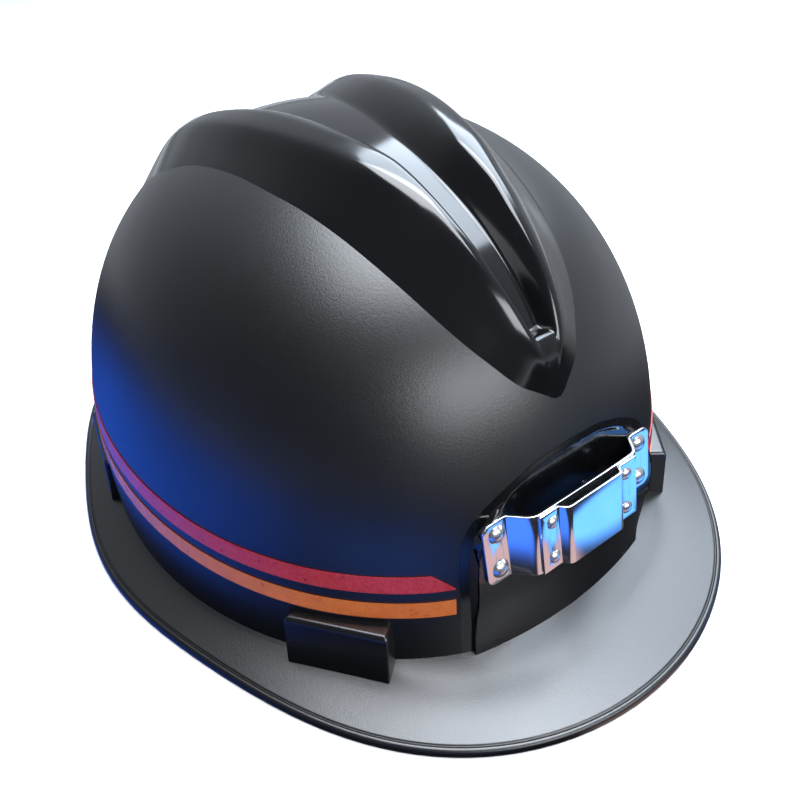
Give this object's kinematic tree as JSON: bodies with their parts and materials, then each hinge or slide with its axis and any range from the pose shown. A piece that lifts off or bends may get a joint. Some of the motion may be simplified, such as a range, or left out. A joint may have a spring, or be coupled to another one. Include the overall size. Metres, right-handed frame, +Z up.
{
  "type": "miner helmet",
  "caption": "Matte black miner's safety helmet with a V-ribbed crown, full brim, riveted front lamp bracket, reflective side tapes and a ratchet-fitted head harness.",
  "frame": {"origin": "middle of the brim's footprint, on the plane the brim rests on", "axes": "+Z up through the crown; the wearer looks along -Y, so the lamp bracket faces -Y; the wearer's left is +X"},
  "size_m": [0.2422, 0.3049, 0.1478],
  "materials": {
    "shell_black": "fine matte texture, glossy on the ribs and front pad",
    "tape_red": "retroreflective tape",
    "tape_amber": "retroreflective tape",
    "bright_steel": "bright plated sheet",
    "rivet_aluminium": "smooth",
    "liner_plastic": "satin moulded",
    "ratchet_plastic": "moulded",
    "sweatband_leather": "perforated",
    "webbing": "woven webbing",
    "pad_fabric": "knit over foam",
    "screw_steel": "plated"
  },
  "bodies": {
    "helmet": {"shell": "shell_black", "stripe_red_left": "tape_red", "stripe_red_right": "tape_red", "stripe_amber_left": "tape_amber", "stripe_amber_right": "tape_amber", "lamp_strap": "bright_steel", "lamp_plate": "bright_steel", "strap_rivets": "rivet_aluminium", "rivet_washers": "rivet_aluminium", "plate_rivets": "rivet_aluminium", "cable_clip": "bright_steel", "clip_rivets": "rivet_aluminium", "clip_washers": "rivet_aluminium", "key_front_left": "liner_plastic", "key_front_right": "liner_plastic", "key_rear_left": "liner_plastic", "key_rear_right": "liner_plastic", "headband": "liner_plastic", "headband_studs": "liner_plastic", "sweatband": "sweatband_leather", "crown_strap_upper": "webbing", "crown_strap_lower": "webbing", "crown_pad": "pad_fabric", "tail_guide_left": "ratchet_plastic", "tail_guide_right": "ratchet_plastic", "nape_housing": "ratchet_plastic", "nape_cover": "ratchet_plastic", "cover_screws": "screw_steel", "detent_spring": "screw_steel", "nape_pad": "pad_fabric"},
    "knob": {"ratchet_knob": "ratchet_plastic", "ratchet_pinion": "ratchet_plastic"},
    "tail_left": {"rack_tail_left": "liner_plastic"},
    "tail_right": {"rack_tail_right": "liner_plastic"}
  },
  "joints": [
    {"name": "ratchet_turn", "type": "hinge", "parent": "helmet", "child": "knob", "pos_m": [0, 0.1097, 0.018], "axis": [0, 1, 0], "range_deg": [-180, 180]},
    {"name": "tail_left_slide", "type": "hinge", "parent": "helmet", "child": "tail_left", "pos_m": [0, 0.0197, 0.018], "axis": [0, 0, 1], "range_deg": [-10.3, 10.3]},
    {"name": "tail_right_slide", "type": "hinge", "parent": "helmet", "child": "tail_right", "pos_m": [0, 0.0197, 0.018], "axis": [0, 0, 1], "range_deg": [-10.3, 10.3]}
  ],
  "couplings": [
    {"joint": "tail_left_slide", "follows": "ratchet_turn", "ratio": -0.056962},
    {"joint": "tail_right_slide", "follows": "ratchet_turn", "ratio": 0.056962}
  ]
}
